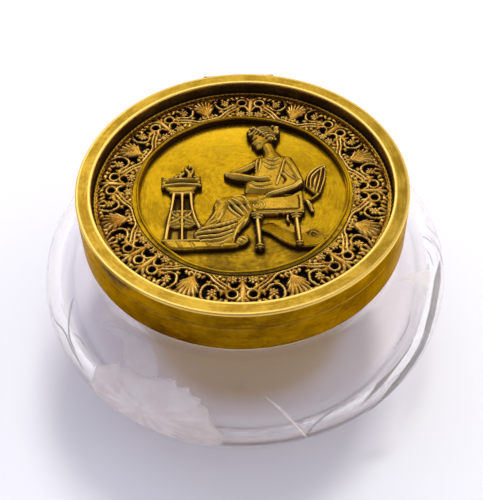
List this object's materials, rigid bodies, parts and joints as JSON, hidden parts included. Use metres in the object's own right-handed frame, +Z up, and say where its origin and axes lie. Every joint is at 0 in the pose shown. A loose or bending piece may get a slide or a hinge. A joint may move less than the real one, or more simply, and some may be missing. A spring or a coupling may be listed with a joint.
{
  "type": "casket box",
  "caption": "Round squat glass box with engraved flowers, a gilt brass collar and a hinged gilt brass lid with a pierced scroll border and a relief plaque.",
  "frame": {"origin": "middle of the foot, on the surface that the box stands on", "axes": "+Z up, +Y towards the hinge at the back, +X to the right"},
  "size_m": [0.14, 0.14, 0.064],
  "materials": {
    "clear_glass": "polished, with matt engraving",
    "gilt_brass": "worn satin gilding",
    "cast_brass": "cast, gilded, dark in the hollows",
    "plaster": "matt"
  },
  "bodies": {
    "base": {"glass_bowl": "clear_glass", "cement_bed": "plaster", "collar": "gilt_brass", "hinge_leaf_lower": "gilt_brass", "hinge_rivets_lower": "gilt_brass", "hinge_pin": "gilt_brass"},
    "lid": {"lid_ring": "gilt_brass", "hinge_leaf_upper": "gilt_brass", "hinge_rivets_upper": "gilt_brass", "gallery": "cast_brass", "gallery_rope": "cast_brass", "plaque": "gilt_brass", "plaque_frame": "cast_brass", "plaque_bead": "cast_brass", "relief_ground": "cast_brass", "brazier": "cast_brass", "seated_woman": "cast_brass", "chair": "cast_brass", "lid_back_plate": "gilt_brass", "lid_screws": "gilt_brass"}
  },
  "joints": [
    {"name": "lid_hinge", "type": "hinge", "parent": "base", "child": "lid", "pos_m": [0, 0.056, 0.0575], "axis": [-1, 0, 0], "range_deg": [0, 105]}
  ]
}
